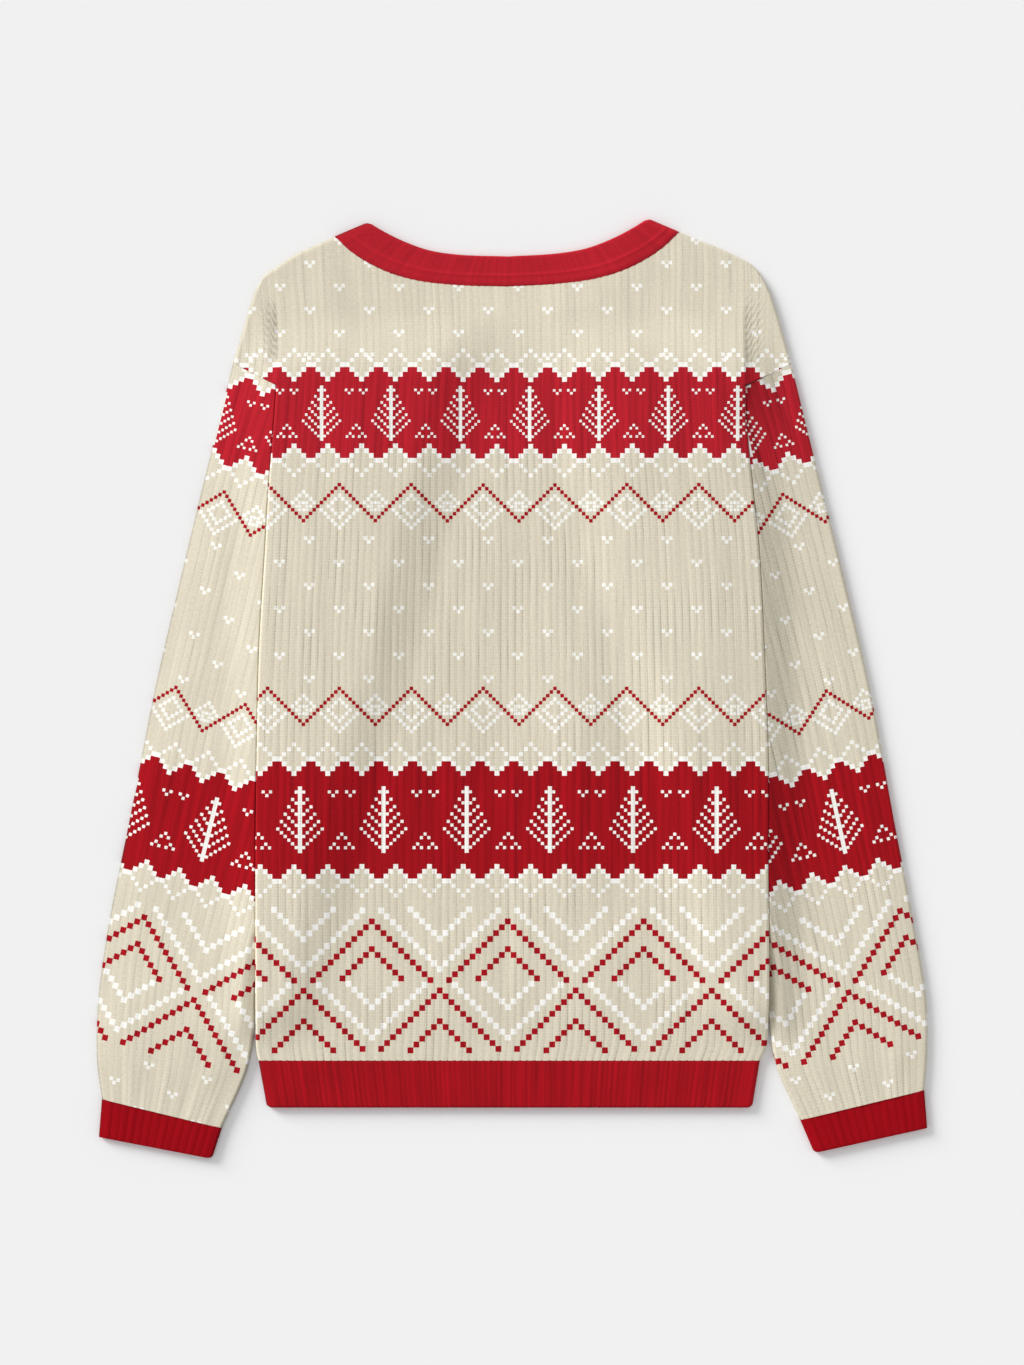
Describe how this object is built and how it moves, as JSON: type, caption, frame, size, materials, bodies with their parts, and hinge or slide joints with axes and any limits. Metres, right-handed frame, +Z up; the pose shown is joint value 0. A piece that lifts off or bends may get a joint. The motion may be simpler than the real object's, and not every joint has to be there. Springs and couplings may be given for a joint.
{
  "type": "christmas sweater",
  "caption": "Long-sleeved winter-patterned pullover in rib knit with contrast neckband, cuffs and hem, laid flat with its back up.",
  "frame": {"origin": "middle of the garment's outline on the surface it lies on", "axes": "+Z up from that surface, +Y from the hem to the neck, +X across the shoulders to the right of the back view"},
  "size_m": [0.6644, 0.7504, 0.0134],
  "materials": {
    "cream_knit": "matte rib knit with a red and white woven-in pattern",
    "red_rib": "matte fine rib"
  },
  "bodies": {
    "root": {"back": "cream_knit", "front": "cream_knit", "sleeve_left": "cream_knit", "sleeve_right": "cream_knit", "neckband": "red_rib", "hem_rib": "red_rib", "cuff_left": "red_rib", "cuff_right": "red_rib"}
  },
  "joints": []
}
